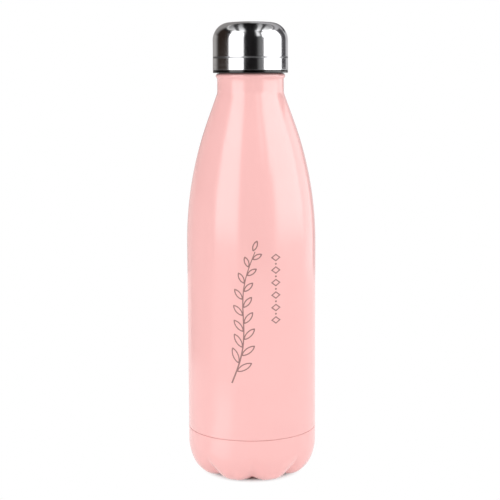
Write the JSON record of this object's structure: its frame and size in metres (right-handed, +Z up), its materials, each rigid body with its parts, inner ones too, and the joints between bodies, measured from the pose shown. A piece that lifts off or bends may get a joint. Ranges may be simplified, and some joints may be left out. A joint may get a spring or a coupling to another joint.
{
  "type": "insulated drinks bottle",
  "caption": "Insulated steel drinks bottle with a sloping shoulder, slim neck, lobed foot and a domed steel screw cap.",
  "frame": {"origin": "centre of the foot circle on the surface the bottle stands on", "axes": "+Z up along the bottle's axis towards the cap; -Y is the front, where a valley of the foot and the ornament are"},
  "size_m": [0.072, 0.072, 0.2529],
  "materials": {
    "powder_coat": "satin powder coat, pale pink",
    "inner_steel": "spun stainless steel",
    "cap_steel": "mirror polished stainless steel",
    "copper": "bright copper foil",
    "getter_alloy": "sintered",
    "solder_glass": "fused glass",
    "silicone": "moulded silicone",
    "lid_plastic": "moulded black polypropylene",
    "plug_plastic": "moulded natural polypropylene",
    "foam": "rigid insulating foam"
  },
  "bodies": {
    "bottle": {"outer_shell": "powder_coat", "liner": "inner_steel", "liner_base": "inner_steel", "copper_foil": "copper", "vacuum_base": "inner_steel", "getter_holder": "inner_steel", "getter": "getter_alloy", "vacuum_seal": "solder_glass", "petal_base": "powder_coat"},
    "cap_carrier": {"lip_gasket": "silicone"},
    "cap": {"cap_shell": "cap_steel", "lid_body": "lid_plastic", "plug_cup": "plug_plastic", "foam_core": "foam"}
  },
  "joints": [
    {"name": "cap_lift", "type": "slide", "parent": "bottle", "child": "cap_carrier", "axis": [0, 0, 1], "range_m": [0, 0.028]},
    {"name": "cap_turn", "type": "hinge", "parent": "cap_carrier", "child": "cap", "pos_m": [0, 0, 0.234], "axis": [0, 0, 1], "range_deg": [0, 2520]}
  ],
  "couplings": [
    {"joint": "cap_lift", "follows": "cap_turn", "m_per_rad": 0.00063662}
  ]
}
